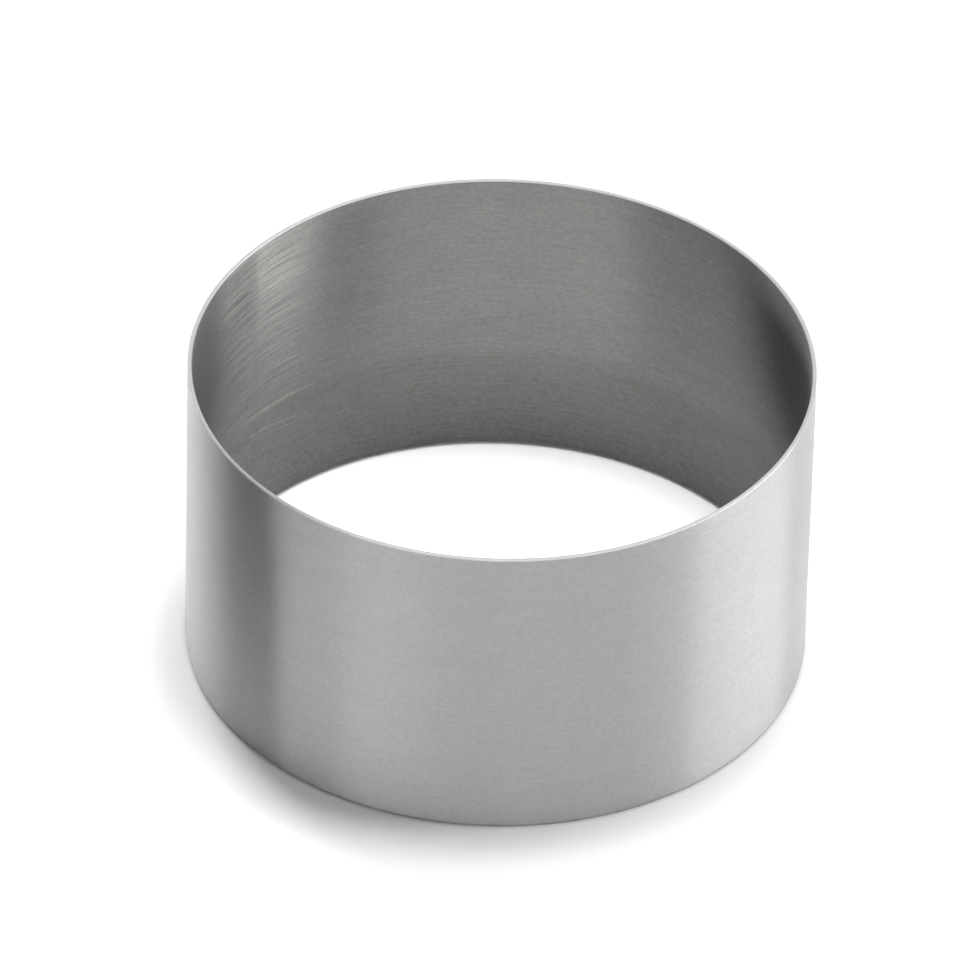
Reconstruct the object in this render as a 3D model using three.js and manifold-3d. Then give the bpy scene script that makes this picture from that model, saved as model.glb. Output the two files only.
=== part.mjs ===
// Dessert ring: one stainless strip rolled into a hoop, its two ends closed by a butt weld.
// Millimetres, +Z up the axis of the ring, origin at the centre of the lower rim, weld on the +Y side.
import * as THREE from "three";
import { mergeVertices } from "three/addons/utils/BufferGeometryUtils.js";
import Module from "manifold-3d";

// Driving dimensions
const outerDiameter = 75;
const ringHeight = 40;
const sheetThickness = 0.55;
const deburrRadius = 0.12; // left on every rim edge, so that the ring can be held and pressed down
const weldFaceWidth = 1.4; // outside, where the torch ran
const weldRootWidth = 0.9; // inside, where the weld came through
const rootCrown = 0.02; // what the blending left standing proud inside, outside the weld is ground flush
const fusionGap = 0.02; // kept between the weld and each end of the strip

// Fineness of the round surfaces
const facetsRoundRing = 144; // even, so that an edge lies in the middle plane of the weld
const stepsRoundDeburr = 1;
const stepsRoundCrown = 6;

const outerRadius = outerDiameter / 2;
const innerRadius = outerRadius - sheetThickness;
const cutReach = sheetThickness; // how far a cutting prism runs past the wall and the rims

const wasm = await Module();
wasm.setup();

function toSolid(geometry) {
  geometry.deleteAttribute("normal");
  geometry.deleteAttribute("uv");
  const merged = mergeVertices(geometry);
  return new wasm.Manifold(
    new wasm.Mesh({
      numProp: 3,
      vertProperties: merged.attributes.position.array,
      triVerts: new Uint32Array(merged.index.array),
    }),
  );
}

function toMesh(name, solid, finish) {
  const { vertProperties, triVerts } = solid.getMesh();
  const geometry = new THREE.BufferGeometry();
  geometry.setAttribute("position", new THREE.BufferAttribute(vertProperties, 3));
  geometry.setIndex(new THREE.BufferAttribute(triVerts, 1));
  geometry.computeVertexNormals();
  const mesh = new THREE.Mesh(geometry, new THREE.MeshStandardMaterial(finish));
  mesh.name = name;
  return mesh;
}

// Full hoop between two radii: the wall's section with its four rim edges rounded, turned about Z.
function hoop(inner, outer) {
  const top = ringHeight - deburrRadius;
  const quarter = Math.PI / 2;
  const section = new THREE.Path();
  section.absarc(outer - deburrRadius, deburrRadius, deburrRadius, -quarter, 0);
  section.absarc(outer - deburrRadius, top, deburrRadius, 0, quarter);
  section.absarc(inner + deburrRadius, top, deburrRadius, quarter, 2 * quarter);
  section.absarc(inner + deburrRadius, deburrRadius, deburrRadius, 2 * quarter, 3 * quarter);
  section.closePath();
  const geometry = new THREE.LatheGeometry(section.getPoints(stepsRoundDeburr), facetsRoundRing);
  return toSolid(geometry.rotateX(quarter));
}

// Half the width of the weld at a distance from the axis: it flares from the root to the face.
function weldHalfWidth(radius) {
  const share = (radius - innerRadius) / sheetThickness;
  return THREE.MathUtils.lerp(weldRootWidth, weldFaceWidth, share) / 2;
}

// Upright prism of an outline in plan, running past both rims.
function prism(outline) {
  const geometry = new THREE.ExtrudeGeometry(outline, {
    depth: ringHeight + 2 * cutReach,
    bevelEnabled: false,
    curveSegments: stepsRoundCrown,
  });
  return toSolid(geometry.translate(0, 0, -cutReach));
}

// The groove between the two strip ends, open through the wall.
function weldGroove() {
  const near = innerRadius - cutReach;
  const far = outerRadius + cutReach;
  const nearHalf = weldHalfWidth(near) + fusionGap;
  const farHalf = weldHalfWidth(far) + fusionGap;
  const outline = new THREE.Shape();
  outline.moveTo(-nearHalf, near);
  outline.lineTo(nearHalf, near);
  outline.lineTo(farHalf, far);
  outline.lineTo(-farHalf, far);
  return prism(outline);
}

// The weld in plan: a low crown at the root, flaring sides, and more than the wall's depth outside.
function weldBead() {
  const far = outerRadius + cutReach;
  const rootHalf = weldHalfWidth(innerRadius);
  const farHalf = weldHalfWidth(far);
  const outline = new THREE.Shape();
  outline.moveTo(-rootHalf, innerRadius);
  outline.quadraticCurveTo(0, innerRadius - 2 * rootCrown, rootHalf, innerRadius);
  outline.lineTo(farHalf, far);
  outline.lineTo(-farHalf, far);
  return prism(outline);
}

const rolledBand = hoop(innerRadius, outerRadius).subtract(weldGroove());
const weldSeam = hoop(innerRadius - 2 * rootCrown, outerRadius).intersect(weldBead());

const dessertRing = new THREE.Group();
dessertRing.add(
  toMesh("rolled_band", rolledBand, { color: 0xb2b2b0, roughness: 0.38, metalness: 1 }),
  toMesh("weld_seam", weldSeam, { color: 0xa8a7a4, roughness: 0.45, metalness: 1 }),
);

export default dessertRing;
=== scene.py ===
# Dessert ring: a satin stainless strip rolled into a hoop and closed by a blended butt weld.
import math
import bpy
from mathutils import Matrix, Vector


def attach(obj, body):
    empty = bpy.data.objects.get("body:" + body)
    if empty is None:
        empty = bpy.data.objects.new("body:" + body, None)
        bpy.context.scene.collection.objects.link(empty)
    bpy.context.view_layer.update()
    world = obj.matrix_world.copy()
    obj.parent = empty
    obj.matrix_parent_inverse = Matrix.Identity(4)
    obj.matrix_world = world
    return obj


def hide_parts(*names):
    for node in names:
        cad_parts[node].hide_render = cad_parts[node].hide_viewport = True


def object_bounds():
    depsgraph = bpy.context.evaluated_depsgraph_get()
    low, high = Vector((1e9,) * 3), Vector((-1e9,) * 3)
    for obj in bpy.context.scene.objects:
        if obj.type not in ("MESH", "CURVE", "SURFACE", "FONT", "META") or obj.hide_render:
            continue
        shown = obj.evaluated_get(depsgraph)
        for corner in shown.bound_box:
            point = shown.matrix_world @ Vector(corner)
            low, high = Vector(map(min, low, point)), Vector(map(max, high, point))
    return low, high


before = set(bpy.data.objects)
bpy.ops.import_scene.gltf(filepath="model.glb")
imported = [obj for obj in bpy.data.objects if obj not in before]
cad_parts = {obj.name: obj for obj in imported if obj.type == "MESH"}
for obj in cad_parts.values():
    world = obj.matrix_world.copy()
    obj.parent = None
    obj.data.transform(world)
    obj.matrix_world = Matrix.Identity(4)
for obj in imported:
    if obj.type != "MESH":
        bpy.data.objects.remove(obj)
cadLow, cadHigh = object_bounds()
ringRadius = cadHigh.x
ringHeight = cadHigh.z
weldAngle = math.pi / 2  # the weld is on the +Y side of the ring
millimetre = 0.001
micrometre = 0.000001
print("frame loaded:", ", ".join(sorted(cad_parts)))


# small helpers for node trees

def addNode(tree, kind, place, **settings):
    node = tree.nodes.new(kind)
    node.location = place
    for key, value in settings.items():
        setattr(node, key, value)
    return node


def setInput(tree, socket, value):
    if isinstance(value, bpy.types.NodeSocket):
        tree.links.new(value, socket)
    else:
        socket.default_value = value


def addMath(tree, operation, place, *values):
    node = addNode(tree, "ShaderNodeMath", place, operation=operation)
    for socket, value in zip(node.inputs, values):
        setInput(tree, socket, value)
    return node.outputs["Value"]


# maps a value from one span to another, with soft ends where asked
def addRange(tree, place, value, fromSpan, toSpan, soft=False):
    node = addNode(tree, "ShaderNodeMapRange", place)
    node.interpolation_type = "SMOOTHSTEP" if soft else "LINEAR"
    titles = ("Value", "From Min", "From Max", "To Min", "To Max")
    for title, entry in zip(titles, (value, *fromSpan, *toSpan)):
        setInput(tree, node.inputs[title], entry)
    return node.outputs["Result"]


# noise over two or three lengths, each with its own size of pattern
def addNoise(tree, place, lengths, sizes, detail=2.0):
    left, top = place
    vector = addNode(tree, "ShaderNodeCombineXYZ", place)
    for number, (length, size) in enumerate(zip(lengths, sizes)):
        share = addMath(tree, "DIVIDE", (left - 200, top + 100 - 150 * number), length, size)
        tree.links.new(share, vector.inputs[number])
    noise = addNode(tree, "ShaderNodeTexNoise", (left + 200, top))
    noise.inputs["Scale"].default_value = 1.0
    noise.inputs["Detail"].default_value = detail
    tree.links.new(vector.outputs[0], noise.inputs["Vector"])
    return noise.outputs["Fac"]


def startGroup(name, inputs, outputs):
    group = bpy.data.node_groups.new(name, "ShaderNodeTree")
    for title in inputs:
        group.interface.new_socket(name=title, in_out="INPUT", socket_type="NodeSocketFloat")
    for title in outputs:
        group.interface.new_socket(name=title, in_out="OUTPUT", socket_type="NodeSocketFloat")
    groupIn = addNode(group, "NodeGroupInput", (-1500, 300))
    groupOut = addNode(group, "NodeGroupOutput", (1200, 0))
    return group, groupIn.outputs, groupOut.inputs


def placeGroup(tree, group, place, values):
    node = addNode(tree, "ShaderNodeGroup", place, node_tree=group)
    for title, value in values.items():
        setInput(tree, node.inputs[title], value)
    return node.outputs


# where a point lies on the ring, in metres: x and y, height, distance from the axis,
# and the way round from the weld, which grows clockwise seen from above
def addRingPlace(tree, place):
    left, top = place
    spot = addNode(tree, "ShaderNodeTexCoord", (left, top))
    split = addNode(tree, "ShaderNodeSeparateXYZ", (left + 200, top))
    tree.links.new(spot.outputs["Object"], split.inputs[0])
    x, y, height = split.outputs
    square = addMath(tree, "MULTIPLY", (left + 400, top), x, x)
    square = addMath(tree, "MULTIPLY_ADD", (left + 600, top), y, y, square)
    radius = addMath(tree, "SQRT", (left + 800, top), square)
    angle = addMath(tree, "ARCTAN2", (left + 400, top - 200), x, y)
    turn = addMath(tree, "MULTIPLY", (left + 600, top - 200), angle, ringRadius)
    return {"x": x, "y": y, "height": height, "radius": radius, "turn": turn}


grainLook = {
    "cloudLength": 18 * millimetre,
    "cloudWidth": 5 * millimetre,
    "speckLength": 0.6 * millimetre,
    "speckWidth": 0.45 * millimetre,
}


# hairlines drawn out round the ring, the fine grain between them and soft clouds of handling
def makeGrainGroup():
    group, inputs, outputs = startGroup("satinGrain", ["Length", "Width"], ["Lines", "Grain", "Clouds"])
    spot = addRingPlace(group, (-1500, 0))
    across = addMath(group, "ADD", (-500, 0), spot["height"], spot["radius"])  # up a wall, out along a rim
    lengths = (spot["x"], spot["y"], across)
    lineSizes = (inputs["Length"], inputs["Length"], inputs["Width"])
    cloudSizes = (grainLook["cloudLength"], grainLook["cloudLength"], grainLook["cloudWidth"])
    speckSizes = (grainLook["speckLength"], grainLook["speckLength"], grainLook["speckWidth"])
    group.links.new(addNoise(group, (100, 200), lengths, lineSizes, detail=3.0), outputs["Lines"])
    group.links.new(addNoise(group, (100, -800), lengths, speckSizes, detail=1.0), outputs["Grain"])
    group.links.new(addNoise(group, (100, -300), lengths, cloudSizes, detail=3.0), outputs["Clouds"])
    return group


blendLook = {
    "streakHeights": (0.15 * ringHeight, 0.85 * ringHeight),
    "streakHighlightShares": (0.12, 1.0),  # painted highlight: how strong the streaks are at these two heights
    "brightSpan": (0.5, 0.68),  # noise at which a bright streak starts and is full
    "darkSpan": (0.5, 0.25),
    # painted highlight: between these heights one side of the weld is lighter and the other darker
    "sideHighlightHeights": (0.55 * ringHeight, 0.85 * ringHeight),
    "sideHighlightReach": 1 * millimetre,  # the painted highlight's step in tone at the weld is this soft to either side
}


# streaks left by blending the weld by hand, strongest at the weld; their rise towards the upper rim is
# painted highlight, and so is the step in tone across the weld high up, lighter on one side and darker on
# the other
def makeBlendGroup():
    titles = ["Reach", "Length", "Width"]
    group, inputs, outputs = startGroup("blendMarks", titles, ["Bright", "Dark", "Side"])
    spot = addRingPlace(group, (-1500, 0))
    turn, height = spot["turn"], spot["height"]
    away = addMath(group, "ABSOLUTE", (-700, -200), turn)
    near = addRange(group, (-500, -200), away, (inputs["Reach"], 0.0), (0.0, 1.0), soft=True)
    upper = addRange(group, (-500, -450), height, blendLook["streakHeights"], blendLook["streakHighlightShares"])
    zone = addMath(group, "MULTIPLY", (-300, -300), near, upper)
    streaks = addNoise(group, (-100, 200), (turn, height), (inputs["Length"], inputs["Width"]), detail=2.5)
    bright = addRange(group, (400, 200), streaks, blendLook["brightSpan"], (0.0, 1.0), soft=True)
    dark = addRange(group, (400, -100), streaks, blendLook["darkSpan"], (0.0, 1.0), soft=True)
    sideHighlightSpan = (-blendLook["sideHighlightReach"], blendLook["sideHighlightReach"])
    side = addRange(group, (400, -400), turn, sideHighlightSpan, (-1.0, 1.0), soft=True)
    high = addRange(group, (400, -650), height, blendLook["sideHighlightHeights"], (0.0, 1.0), soft=True)
    highSideHighlight = addMath(group, "MULTIPLY", (600, -550), side, high)
    group.links.new(addMath(group, "MULTIPLY", (700, 200), bright, zone), outputs["Bright"])
    group.links.new(addMath(group, "MULTIPLY", (700, -100), dark, zone), outputs["Dark"])
    group.links.new(addMath(group, "MULTIPLY", (800, -450), highSideHighlight, near), outputs["Side"])
    return group


scratchLook = {
    "softEnd": 3 * millimetre,
    "breakLength": 1.2 * millimetre,
    "breakSpan": (0.3, 0.6),  # noise between a nearly gone and a whole piece of the scratch
    "leastShare": 0.15,
}


# one long scratch: from and to are distances round the ring from the weld
def makeScratchGroup():
    group, inputs, outputs = startGroup("longScratch", ["From", "To", "Height", "Rise", "Width"], ["Mask"])
    spot = addRingPlace(group, (-1500, 0))
    run = addMath(group, "SUBTRACT", (-700, -200), spot["turn"], inputs["From"])
    left = addMath(group, "SUBTRACT", (-100, 400), inputs["To"], spot["turn"])
    middle = addMath(group, "MULTIPLY_ADD", (-500, -200), run, inputs["Rise"], inputs["Height"])
    off = addMath(group, "SUBTRACT", (-300, -100), spot["height"], middle)
    off = addMath(group, "ABSOLUTE", (-100, -100), off)
    line = addRange(group, (100, -100), off, (0.0, inputs["Width"]), (1.0, 0.0), soft=True)
    endSpan = (0.0, scratchLook["softEnd"])
    starts = addRange(group, (100, 200), run, endSpan, (0.0, 1.0), soft=True)
    ends = addRange(group, (100, 400), left, endSpan, (0.0, 1.0), soft=True)
    sizes = (scratchLook["breakLength"], 1.0)  # each height breaks up in its own way
    broken = addNoise(group, (-100, 700), (spot["turn"], inputs["Height"]), sizes)
    kept = addRange(group, (400, 700), broken, scratchLook["breakSpan"], (scratchLook["leastShare"], 1.0))
    whole = addMath(group, "MULTIPLY", (400, 300), starts, ends)
    mask = addMath(group, "MULTIPLY", (600, 100), line, whole)
    group.links.new(addMath(group, "MULTIPLY", (800, 100), mask, kept), outputs["Mask"])
    return group


# a few small pits from handling, one at most in each cell
def makePitGroup():
    group, inputs, outputs = startGroup("handlingPits", ["Cell", "Size", "Share"], ["Mask"])
    spot = addRingPlace(group, (-1500, 0))
    vector = addNode(group, "ShaderNodeCombineXYZ", (-200, 0))
    for title, length, top in (("X", spot["turn"], 100), ("Y", spot["height"], -100)):
        setInput(group, vector.inputs[title], addMath(group, "DIVIDE", (-400, top), length, inputs["Cell"]))
    cells = addNode(group, "ShaderNodeTexVoronoi", (0, 0), voronoi_dimensions="2D")
    cells.inputs["Scale"].default_value = 1.0
    group.links.new(vector.outputs[0], cells.inputs["Vector"])
    size = addMath(group, "DIVIDE", (0, 300), inputs["Size"], inputs["Cell"])
    pit = addRange(group, (250, 0), cells.outputs["Distance"], (0.0, size), (1.0, 0.0), soft=True)
    chance = addNode(group, "ShaderNodeSeparateColor", (250, -250))
    group.links.new(cells.outputs["Color"], chance.inputs[0])
    kept = addMath(group, "LESS_THAN", (450, -250), chance.outputs["Red"], inputs["Share"])
    group.links.new(addMath(group, "MULTIPLY", (700, 0), pit, kept), outputs["Mask"])
    return group


paintedShadeLook = {
    "waveLength": 20 * millimetre,
    "waveHeight": 3 * millimetre,
}


# painted shade: a darker zone that grows from the first height to the second, with a slightly wavy edge
def makePaintedShadeGroup():
    group, inputs, outputs = startGroup("paintedShadeZone", ["From", "To"], ["Mask"])
    spot = addRingPlace(group, (-1500, 0))
    sizes = (paintedShadeLook["waveLength"], paintedShadeLook["waveLength"])
    wave = addNoise(group, (-300, 300), (spot["x"], spot["y"]), sizes)
    level = addMath(group, "MULTIPLY_ADD", (200, 200), wave, paintedShadeLook["waveHeight"], spot["height"])
    level = addMath(group, "SUBTRACT", (400, 200), level, paintedShadeLook["waveHeight"] / 2)
    mask = addRange(group, (600, 100), level, (inputs["From"], inputs["To"]), (0.0, 1.0), soft=True)
    group.links.new(mask, outputs["Mask"])
    return group


satinGrain = makeGrainGroup()
paintedShadeZone = makePaintedShadeGroup()
blendMarks = makeBlendGroup()
longScratch = makeScratchGroup()
handlingPits = makePitGroup()
print("finish groups made")


# one steel finish: hairlines in tone and bump, clouds in tone and roughness, and the gloss drawn out
# across the hairlines; depths are in micrometres
def makeSteel(name, look):
    material = bpy.data.materials.new(name)
    material.use_nodes = True
    tree = material.node_tree
    shader = tree.nodes["Principled BSDF"]
    shader.inputs["Metallic"].default_value = 1.0
    shader.inputs["Anisotropic"].default_value = look["anisotropy"]
    shader.inputs["Anisotropic Rotation"].default_value = 0.25  # a quarter turn
    lineSize = {"Length": look["lineLength"], "Width": look["lineWidth"]}
    grain = placeGroup(tree, satinGrain, (-1700, 0), lineSize)
    noiseSpan = (0.25, 0.75)  # nearly all of the noise lies in here
    lines = addRange(tree, (-1400, 300), grain["Lines"], noiseSpan, (-1.0, 1.0))
    clouds = addRange(tree, (-1400, 0), grain["Clouds"], noiseSpan, (-1.0, 1.0))
    specks = addRange(tree, (-1400, 600), grain["Grain"], noiseSpan, (-1.0, 1.0))
    pits = placeGroup(tree, handlingPits, (-1700, -300), look["pits"])["Mask"]
    tone = addMath(tree, "MULTIPLY_ADD", (-1100, 300), lines, look["lineTone"], 1.0)
    tone = addMath(tree, "MULTIPLY_ADD", (-900, 300), clouds, look["cloudTone"], tone)
    tone = addMath(tree, "MULTIPLY_ADD", (-800, 500), specks, look["grainTone"], tone)
    # painted shade: the pits are darkened in colour as well as dented
    tone = addMath(tree, "MULTIPLY_ADD", (-700, 300), pits, look["pitShadeTone"], tone)
    height = addMath(tree, "MULTIPLY", (-1100, -500), lines, look["lineDepth"])
    height = addMath(tree, "MULTIPLY_ADD", (-900, -500), pits, -look["pitDepth"], height)
    rough = addMath(tree, "MULTIPLY_ADD", (-1100, -100), clouds, look["cloudRough"], look["roughness"])
    for number, streak in enumerate(look["streaks"]):
        x = -1100 + 200 * number
        marks = placeGroup(tree, blendMarks, (x, -900), streak["size"])
        edge = addMath(tree, "SUBTRACT", (x, -700), marks["Bright"], marks["Dark"])
        tone = addMath(tree, "MULTIPLY_ADD", (x + 600, 300), edge, streak["tone"], tone)
        # painted highlight: a step in tone across the weld, high on the wall
        tone = addMath(tree, "MULTIPLY_ADD", (x + 600, 150), marks["Side"], streak["side"], tone)
        height = addMath(tree, "MULTIPLY_ADD", (x + 400, -500), edge, streak["depth"], height)
    # painted shade: the tone is darkened in each of these zones
    for number, shadeBand in enumerate(look["paintedShadeZones"]):
        mask = placeGroup(tree, paintedShadeZone, (-1700, 800 + 250 * number), shadeBand["span"])["Mask"]
        tone = addMath(tree, "MULTIPLY_ADD", (-300, 700 + 150 * number), mask, shadeBand["tone"], tone)
    # painted glint: the scratches are lighter in colour than the steel around them
    for number, scratch in enumerate(look["scratches"]):
        mask = placeGroup(tree, longScratch, (-1700, -600 - 250 * number), scratch)["Mask"]
        tone = addMath(tree, "MULTIPLY_ADD", (-100, 500 + 150 * number), mask, look["scratchGlintTone"], tone)
    tint = addNode(tree, "ShaderNodeVectorMath", (-200, 200), operation="SCALE")
    tint.inputs[0].default_value = [look["tone"] * part for part in look["tint"]]
    tree.links.new(tone, tint.inputs["Scale"])
    tree.links.new(tint.outputs["Vector"], shader.inputs["Base Color"])
    tree.links.new(rough, shader.inputs["Roughness"])
    bump = addNode(tree, "ShaderNodeBump", (-200, -300))
    bump.inputs["Strength"].default_value = 1.0
    bump.inputs["Distance"].default_value = micrometre
    tree.links.new(height, bump.inputs["Height"])
    tree.links.new(bump.outputs["Normal"], shader.inputs["Normal"])
    return material


outsideLook = {
    "tone": 0.455,
    "tint": (1.0, 1.0, 0.993),
    "roughness": 0.46,
    "anisotropy": 1.0,
    "lineLength": 5 * millimetre,
    "lineWidth": 0.09 * millimetre,
    "lineTone": 0.06,
    "lineDepth": 0.5,
    "grainTone": 0.055,
    "cloudTone": 0.025,
    "cloudRough": 0.015,
    "pits": {"Cell": 17 * millimetre, "Size": 0.13 * millimetre, "Share": 0.55},
    # the pits are real dents; their darker colour is painted shade
    "pitShadeTone": -0.3,
    "pitDepth": 12.0,
    "paintedShadeZones": [],
    "streaks": [],
    "scratches": [],
    "scratchGlintTone": 0.0,
}

insideLook = {
    **outsideLook,
    # painted shade: the inside copy of the steel is given a darker tone than the outside
    "tone": 0.333,
    "tint": (1.0, 0.988, 0.962),
    "lineTone": 0.12,
    "grainTone": 0.085,
    "cloudTone": 0.05,
    "pits": {"Cell": 21 * millimetre, "Size": 0.12 * millimetre, "Share": 0.4},
    # painted shade: the inside darkens below a soft edge about a third of the way up, and more towards the
    # lower rim
    "paintedShadeZones": [
        {"span": {"From": 15.5 * millimetre, "To": 12 * millimetre}, "tone": -0.15},
        {"span": {"From": 12 * millimetre, "To": -2 * millimetre}, "tone": -0.2},
    ],
    # blend marks at the weld; their strength near the upper rim and the side step are painted highlight
    "streaks": [
        {"size": {"Reach": 16 * millimetre, "Length": 12 * millimetre, "Width": 0.34 * millimetre},
         "tone": 0.15, "side": 0.13, "depth": 1.0},
        {"size": {"Reach": 14 * millimetre, "Length": 9 * millimetre, "Width": 0.18 * millimetre},
         "tone": 0.45, "side": 0.0, "depth": 1.0},
    ],
    "scratches": [
        {"From": -4 * millimetre, "To": 11.5 * millimetre, "Height": 15 * millimetre, "Rise": -0.04,
         "Width": 0.1 * millimetre},
        {"From": -2 * millimetre, "To": 10 * millimetre, "Height": 14.5 * millimetre, "Rise": -0.01,
         "Width": 0.08 * millimetre},
        {"From": 2.5 * millimetre, "To": 9 * millimetre, "Height": 20.2 * millimetre, "Rise": 0.0,
         "Width": 0.1 * millimetre},
        {"From": -4 * millimetre, "To": 8.5 * millimetre, "Height": 12.7 * millimetre, "Rise": -0.165,
         "Width": 0.09 * millimetre},
        {"From": 0.5 * millimetre, "To": 8 * millimetre, "Height": 10.9 * millimetre, "Rise": -0.14,
         "Width": 0.07 * millimetre},
    ],
    # painted glint on real scratches
    "scratchGlintTone": 0.9,
}

rimLook = {
    **outsideLook,
    # painted light: the rim copy of the steel is given a lighter tone than the walls; its roughness and
    # grain are the deburred rim's own finish
    "tone": 0.58,
    "tint": (1.0, 1.0, 1.0),
    "roughness": 0.4,
    "anisotropy": 0.0,
    "lineLength": 3 * millimetre,
    "lineWidth": 0.07 * millimetre,
    "lineTone": 0.06,
    "cloudTone": 0.05,
    "cloudRough": 0.04,
    "pits": {"Cell": 6 * millimetre, "Size": 0.1 * millimetre, "Share": 0.3},
}

bandLook = {
    "sheet": 0.55 * millimetre,
    "edgeRadius": 0.12 * millimetre,  # deburred rim edges
    "edgeSteps": 5,
    "turnSteps": 480,
    "wallRows": 10,
    "zones": {"outside": outsideLook, "inside": insideLook, "rim": rimLook},
}

weldLook = {
    "faceWidth": 1.4 * millimetre,  # outside, where the torch ran
    "rootWidth": 0.9 * millimetre,  # inside
    "rootCrown": 0.004 * millimetre,  # what the blending left standing inside
    "dip": 0.02 * millimetre,  # the strip's ends lie this much further in
    "dipReach": 4 * millimetre,
    "turnSteps": 16,
    "zones": {
        "outside": {**outsideLook, "tone": 0.44, "roughness": 0.5, "lineTone": 0.09},
        "inside": {**insideLook, "roughness": 0.48},
        "rim": rimLook,
    },
}


# the wall's section as (radius, height, zone of the face that follows), counter-clockwise from below
def wallSection():
    outer = ringRadius
    inner = ringRadius - bandLook["sheet"]
    edge = bandLook["edgeRadius"]
    steps = bandLook["edgeSteps"]
    rows = bandLook["wallRows"]
    points = []

    def addRound(radius, height, startAngle):
        for step in range(steps):
            angle = startAngle + math.pi / 2 * step / steps
            points.append((radius + edge * math.cos(angle), height + edge * math.sin(angle), "rim"))

    def addWall(radius, fromHeight, toHeight, zone):
        for row in range(rows):
            share = (1 - math.cos(math.pi * row / rows)) / 2  # rows crowd towards both rims
            points.append((radius, fromHeight + (toHeight - fromHeight) * share, zone))

    addRound(outer - edge, edge, -math.pi / 2)
    addWall(outer, edge, ringHeight - edge, "outside")
    addRound(outer - edge, ringHeight - edge, 0)
    points.append((outer - edge, ringHeight, "rim"))
    addRound(inner + edge, ringHeight - edge, math.pi / 2)
    addWall(inner, ringHeight - edge, edge, "inside")
    addRound(inner + edge, edge, math.pi)
    points.append((inner + edge, 0.0, "rim"))
    return points


def weldHalfAngle(radius):
    share = (radius - ringRadius + bandLook["sheet"]) / bandLook["sheet"]
    width = weldLook["rootWidth"] + (weldLook["faceWidth"] - weldLook["rootWidth"]) * share
    return math.asin(width / 2 / radius)


# the wall leans in a little towards the weld on both sides
def seamDip(angle):
    away = abs(math.remainder(angle - weldAngle, 2 * math.pi)) * ringRadius
    share = max(0.0, 1 - away / weldLook["dipReach"])
    return weldLook["dip"] * share * share


# sweeps the wall's section round part of the ring and closes both ends
def sweepWall(name, steps, placeAt, zoneLooks):
    section = wallSection()
    zones = list(zoneLooks)
    count = len(section)
    lengths = [0.0]
    for (r0, z0, _), (r1, z1, _) in zip(section, section[1:] + section[:1]):
        lengths.append(lengths[-1] + math.hypot(r1 - r0, z1 - z0))
    vertices = []
    arcs = []
    for step in range(steps + 1):
        for radius, height, zone in section:
            angle, shrink = placeAt(radius, step / steps, zone)
            reach = radius - shrink - seamDip(angle)
            vertices.append((reach * math.cos(angle), reach * math.sin(angle), height))
            arcs.append((angle - weldAngle) * ringRadius)
    faces = []
    faceZones = []
    faceMaps = []
    for step in range(steps):
        for i in range(count):
            j = (i + 1) % count
            here, there = step * count, (step + 1) * count
            corners = (here + i, there + i, there + j, here + j)
            faces.append(corners)
            faceZones.append(zones.index(section[i][2]))
            heights = (lengths[i], lengths[i], lengths[i + 1], lengths[i + 1])
            faceMaps.append([(arcs[corner], height) for corner, height in zip(corners, heights)])
    for start, order in ((0, 1), (steps * count, -1)):
        cap = [start + i for i in range(count)][::order]
        faces.append(tuple(cap))
        faceZones.append(zones.index("rim"))
        faceMaps.append([(arcs[corner], vertices[corner][2]) for corner in cap])
    mesh = bpy.data.meshes.new(name)
    mesh.from_pydata(vertices, [], faces)
    stripMap = mesh.uv_layers.new(name="strip")
    stripMap.data.foreach_set("uv", [value for corners in faceMaps for uv in corners for value in uv])
    for zone, look in zoneLooks.items():
        mesh.materials.append(makeSteel(name + zone.capitalize(), look))
    mesh.polygons.foreach_set("material_index", faceZones)
    mesh.polygons.foreach_set("use_smooth", [True] * (len(faces) - 2) + [False] * 2)
    capEdges = {key for polygon in mesh.polygons[-2:] for key in polygon.edge_keys}
    for edge in mesh.edges:
        edge.use_edge_sharp = edge.key in capEdges
    mesh.update()
    piece = bpy.data.objects.new(name, mesh)
    bpy.context.scene.collection.objects.link(piece)
    print(name, "swept:", len(faces), "faces")
    return piece


def makeBand():
    def placeAt(radius, share, zone):
        half = weldHalfAngle(radius)
        return weldAngle + half + (2 * math.pi - 2 * half) * share, 0.0

    band = sweepWall("satin_band", bandLook["turnSteps"], placeAt, bandLook["zones"])
    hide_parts("rolled_band")
    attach(band, "root")


def makeWeld():
    def placeAt(radius, share, zone):
        side = 2 * share - 1
        crown = weldLook["rootCrown"] * math.cos(side * math.pi / 2) ** 2 if zone == "inside" else 0.0
        return weldAngle + weldHalfAngle(radius) * side, crown

    weld = sweepWall("blended_weld", weldLook["turnSteps"], placeAt, weldLook["zones"])
    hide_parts("weld_seam")
    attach(weld, "root")


makeBand()
makeWeld()


# camera: azimuth is counted from the -Y side of the ring, so the weld shows inside on the left
cameraLook = {
    "azimuth": -54.0,
    "elevation": 38.58,
    "distance": 39.84,  # in ring radii, from the middle of the lower rim
    "focalPixels": 12343.0,
    "imagePixels": 980,
    "pan": 0.0415,
    "tilt": 0.642,
    "roll": 1.53,
}


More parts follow.
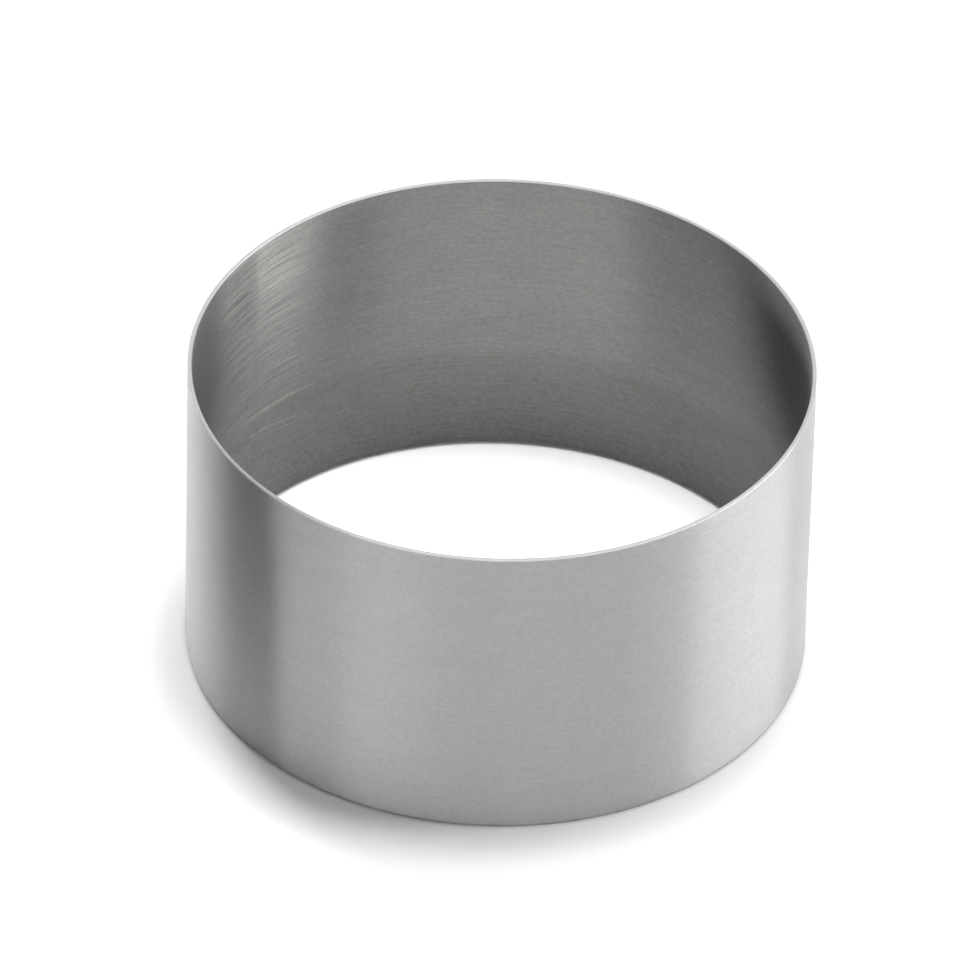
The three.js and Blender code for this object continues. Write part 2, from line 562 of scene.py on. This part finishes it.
def makeCamera():
    azimuth = math.radians(cameraLook["azimuth"])
    elevation = math.radians(cameraLook["elevation"])
    turn = Matrix.Rotation(azimuth, 3, "Z")
    aim = turn @ Matrix.Rotation(math.pi / 2 - elevation, 3, "X")
    aim = aim @ Matrix.Rotation(math.radians(cameraLook["pan"]), 3, "Y")
    aim = aim @ Matrix.Rotation(math.radians(cameraLook["tilt"]), 3, "X")
    aim = aim @ Matrix.Rotation(math.radians(cameraLook["roll"]), 3, "Z")
    reach = cameraLook["distance"] * ringRadius
    spot = turn @ Vector((0, -reach * math.cos(elevation), reach * math.sin(elevation)))
    data = bpy.data.cameras.new("productCamera")
    data.sensor_width = 36.0
    data.lens = data.sensor_width * cameraLook["focalPixels"] / cameraLook["imagePixels"]
    data.clip_end = 20.0
    camera = bpy.data.objects.new("productCamera", data)
    camera.matrix_world = Matrix.Translation(spot) @ aim.to_4x4()
    bpy.context.scene.collection.objects.link(camera)
    bpy.context.scene.camera = camera
    print("camera placed, lens", round(data.lens), "mm")


makeCamera()


# a spot round the ring, seen from the camera: 0 is behind the ring, 90 to its right
def roundRing(bearing, elevation, distance):
    angle = math.radians(cameraLook["azimuth"] + 90 - bearing)
    rise = math.radians(elevation)
    flat = distance * math.cos(rise)
    return Vector((flat * math.cos(angle), flat * math.sin(angle), distance * math.sin(rise)))


def isSeenDirectly(tree, place):
    path = addNode(tree, "ShaderNodeLightPath", place).outputs
    x, y = place
    seen = addMath(tree, "MAXIMUM", (x + 200, y), path["Is Camera Ray"], path["Is Glossy Ray"])
    return addMath(tree, "MAXIMUM", (x + 400, y), seen, path["Is Transmission Ray"])


# bearings and elevations in degrees, lengths in metres
studioLook = {
    "floorSize": 6.0,
    "floorColor": (0.86, 0.86, 0.86, 1),
    "rimGap": 0.12 * millimetre,  # the ring stands this clear of the paper, so a thin dark line shows
    "floorLift": 0.1,  # white that the paper shows besides the light it gets
    "insidePaintedLight": 0.6,  # painted light: the same, stronger inside the ring, where only light from above reaches
    "contactShadowReach": 0.6 * millimetre,  # painted shadow: where paper and wall meet, the lift fades out
    "ambient": 0.18,  # white room light on the floor, the metal sees the white room in full
    "floorLamps": {
        "keyLamp": {"bearings": [40], "elevation": 82.5, "distance": 1.3,
                    "size": (0.3, 0.3), "radiance": 42},
        "backLamp": {"bearings": [-25], "elevation": 48, "distance": 1.3,
                     "size": (0.36, 0.36), "radiance": 28},
        "rightLamp": {"bearings": [90], "elevation": 45, "distance": 1.3,
                      "size": (0.36, 0.36), "radiance": 12},
    },
    "metalPanels": {
        "overheadPanel": {"bearings": [8], "elevation": 77, "distance": 1.2,
                          "size": (1.5, 1.2), "radiance": 1.0},
        "rightPanel": {"bearings": [88], "elevation": 15, "distance": 1.2,
                       "size": (0.97, 0.43), "radiance": 4.0},
        "lowPanel": {"bearings": [48, 122], "elevation": 2.5, "distance": 1.3,
                     "size": (0.6, 0.11), "radiance": 5.0},
        "frontPanel": {"bearings": [154, 187], "elevation": 20.5, "distance": 1.3,
                       "size": (0.77, 0.34), "radiance": 1.65},
        "frontLeftPanel": {"bearings": [218], "elevation": 20.5, "distance": 1.3,
                           "size": (0.6, 0.34), "radiance": 2.3},
        "leftPanel": {"bearings": [-58], "elevation": 4, "distance": 1.3,
                      "size": (1.1, 0.18), "radiance": 5.3},
    },
    "flagColor": (0.02, 0.02, 0.02, 1),
    "flagSteps": 24,
    "flags": {
        "leftFlag": {"bearings": (-121, -80), "elevations": (0, 70), "distance": 0.07,
                     "fade": 0.56, "cover": 0.8},
        "upperFlag": {"bearings": (-268, -30), "elevations": (31, 76), "distance": 1.6,
                      "fade": 0.01, "cover": 1.0},
        "backFlag": {"bearings": (10, 42), "elevations": (24, 60), "distance": 1.6,
                     "fade": 0.4, "cover": 0.5},
        "sideFlag": {"bearings": (-25, -90), "elevations": (8, 31), "distance": 1.6,
                     "fade": 0.3, "cover": 1.0},
    },
}


# the floor has lamps of its own, and the metal shows only its panels
def addSoftbox(name, bearing, look, lightsFloor):
    width, height = look["size"]
    data = bpy.data.lights.new(name, "AREA")
    data.shape = "RECTANGLE"
    data.size = width
    data.size_y = height
    data.energy = look["radiance"] * math.pi * width * height
    box = bpy.data.objects.new(name, data)
    box.location = roundRing(bearing, look["elevation"], look["distance"])
    box.rotation_euler = box.location.to_track_quat("Z", "Y").to_euler()
    box.visible_diffuse = lightsFloor
    box.visible_glossy = not lightsFloor
    bpy.context.scene.collection.objects.link(box)


# dark cloth that lets more through where its cover is less
def makeDarkCloth():
    cloth = bpy.data.materials.new("darkCloth")
    cloth.use_nodes = True
    tree = cloth.node_tree
    tree.nodes.clear()
    output = addNode(tree, "ShaderNodeOutputMaterial", (600, 0))
    both = addNode(tree, "ShaderNodeMixShader", (400, 0))
    cover = addNode(tree, "ShaderNodeAttribute", (100, 200), attribute_name="cover")
    clear = addNode(tree, "ShaderNodeBsdfTransparent", (100, 0))
    dark = addNode(tree, "ShaderNodeBsdfDiffuse", (100, -200))
    dark.inputs["Color"].default_value = studioLook["flagColor"]
    tree.links.new(cover.outputs["Fac"], both.inputs["Fac"])
    tree.links.new(clear.outputs[0], both.inputs[1])
    tree.links.new(dark.outputs[0], both.inputs[2])
    tree.links.new(both.outputs[0], output.inputs["Surface"])
    return cloth


# a curved dark screen that only reflections see, thinning out towards its second bearing
def addFlag(name, look, cloth):
    fromBearing, toBearing = look["bearings"]
    lowElevation, highElevation = look["elevations"]
    steps = studioLook["flagSteps"]
    rows = steps + 1
    vertices = []
    cover = []
    for step in range(rows):
        share = step / steps
        bearing = fromBearing + (toBearing - fromBearing) * share
        for row in range(rows):
            elevation = lowElevation + (highElevation - lowElevation) * row / steps
            vertices.append(roundRing(bearing, elevation, look["distance"]))
            cover.append(look["cover"] * min(1.0, (1 - share) / look["fade"]))
    faces = [(i * rows + j, (i + 1) * rows + j, (i + 1) * rows + j + 1, i * rows + j + 1)
             for i in range(steps) for j in range(steps)]
    mesh = bpy.data.meshes.new(name)
    mesh.from_pydata(vertices, [], faces)
    mesh.attributes.new("cover", "FLOAT", "POINT").data.foreach_set("value", cover)
    mesh.materials.append(cloth)
    flag = bpy.data.objects.new(name, mesh)
    flag.visible_camera = False
    flag.visible_diffuse = False
    flag.visible_shadow = False
    bpy.context.scene.collection.objects.link(flag)


def makePaper():
    paper = bpy.data.materials.new("paper")
    paper.use_nodes = True
    tree = paper.node_tree
    tree.nodes.clear()
    output = addNode(tree, "ShaderNodeOutputMaterial", (600, 0))
    both = addNode(tree, "ShaderNodeAddShader", (400, 0))
    diffuse = addNode(tree, "ShaderNodeBsdfDiffuse", (150, 100))
    diffuse.inputs["Color"].default_value = studioLook["floorColor"]
    glow = addNode(tree, "ShaderNodeEmission", (150, -100))
    radius = addRingPlace(tree, (-1500, -400))["radius"]
    wallMiddle = ringRadius - bandLook["sheet"] / 2
    inside = addMath(tree, "LESS_THAN", (-500, -400), radius, wallMiddle)
    # painted light: the paper inside the ring glows more than outside
    lifts = (studioLook["floorLift"], studioLook["insidePaintedLight"])
    lift = addRange(tree, (-300, -400), inside, (0.0, 1.0), lifts)
    # painted shadow: the glow fades out along the foot of the wall
    off = addMath(tree, "SUBTRACT", (-500, -700), radius, wallMiddle)
    gap = addMath(tree, "ABSOLUTE", (-300, -700), off)
    contactShadowSpan = (bandLook["sheet"] / 2, bandLook["sheet"] / 2 + studioLook["contactShadowReach"])
    clear = addRange(tree, (-100, -700), gap, contactShadowSpan, (0.0, 1.0), soft=True)
    seen = addMath(tree, "MULTIPLY", (-300, 0), isSeenDirectly(tree, (-900, 0)), clear)
    tree.links.new(addMath(tree, "MULTIPLY", (-50, -100), seen, lift), glow.inputs["Strength"])
    tree.links.new(diffuse.outputs[0], both.inputs[0])
    tree.links.new(glow.outputs[0], both.inputs[1])
    tree.links.new(both.outputs[0], output.inputs["Surface"])
    return paper


def makeFloor():
    half = studioLook["floorSize"] / 2
    corners = [(-half, -half, 0), (half, -half, 0), (half, half, 0), (-half, half, 0)]
    mesh = bpy.data.meshes.new("paper_floor")
    mesh.from_pydata(corners, [], [(0, 1, 2, 3)])
    mesh.materials.append(makePaper())
    floor = bpy.data.objects.new("paper_floor", mesh)
    floor.location.z = -studioLook["rimGap"]
    bpy.context.scene.collection.objects.link(floor)


def makeRoom():
    room = bpy.data.worlds.new("whiteRoom")
    bpy.context.scene.world = room
    room.use_nodes = True
    room.cycles.sampling_method = "NONE"
    tree = room.node_tree
    background = tree.nodes["Background"]
    background.inputs["Color"].default_value = (1, 1, 1, 1)
    seen = isSeenDirectly(tree, (-700, 0))
    strength = addRange(tree, (-100, 0), seen, (0.0, 1.0), (studioLook["ambient"], 1.0))
    tree.links.new(strength, background.inputs["Strength"])


def makeStudio():
    makeFloor()
    makeRoom()
    for kind, lightsFloor in (("floorLamps", True), ("metalPanels", False)):
        for name, look in studioLook[kind].items():
            for bearing in look["bearings"]:
                addSoftbox(name, bearing, look, lightsFloor)
    cloth = makeDarkCloth()
    for name, look in studioLook["flags"].items():
        addFlag(name, look, cloth)
    panelKinds = len(studioLook["metalPanels"])
    print("studio lit:", panelKinds, "kinds of panel,", len(studioLook["flags"]), "flags")


makeStudio()
bpy.context.scene.view_settings.view_transform = "Standard"
